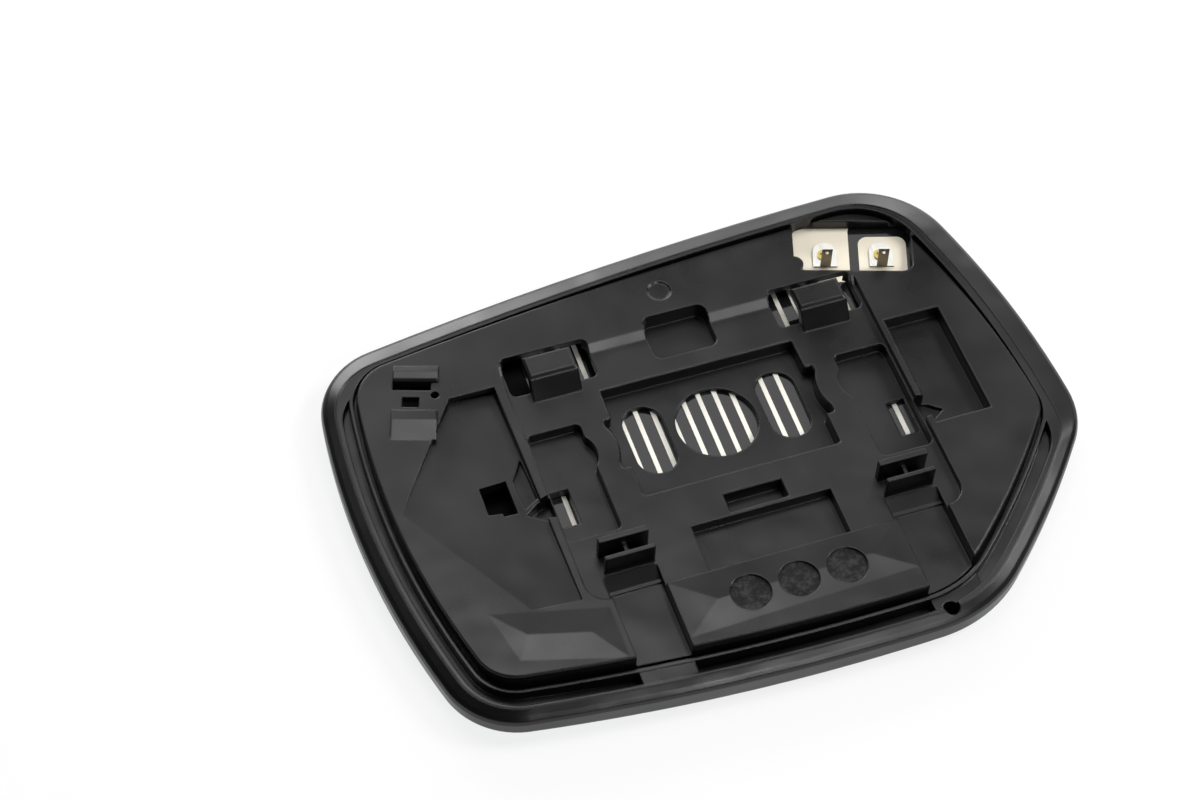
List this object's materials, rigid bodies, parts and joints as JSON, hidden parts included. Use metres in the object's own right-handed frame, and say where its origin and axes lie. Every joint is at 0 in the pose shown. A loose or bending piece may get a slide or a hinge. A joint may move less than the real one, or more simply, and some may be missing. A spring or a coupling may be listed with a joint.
{
  "type": "car door mirror glass",
  "caption": "Heated convex mirror glass for a car door mirror, bonded in a moulded backing plate with snap hooks for the tilt actuator and blade terminals.",
  "frame": {"origin": "middle of the bounding box, at the apex of the convex glass face", "axes": "+Z out of the back of the plate, +X along the long side, +Y towards the upper edge of the plate as pictured"},
  "size_m": [0.1744, 0.124, 0.0162],
  "materials": {
    "plate_plastic": "fine satin black",
    "mirror_blue": "blue tinted mirror",
    "film": "matt dark grey film",
    "silver_print": "matt silver ink",
    "tin": "tin plated",
    "brass": "satin brass"
  },
  "bodies": {
    "root": {"backing_plate": "plate_plastic", "mirror_glass": "mirror_blue", "heater_film": "film", "heater_electrode_left": "silver_print", "heater_electrode_right": "silver_print", "terminal_left": "tin", "terminal_right": "tin", "rivet_left": "brass", "rivet_right": "brass"}
  },
  "joints": []
}
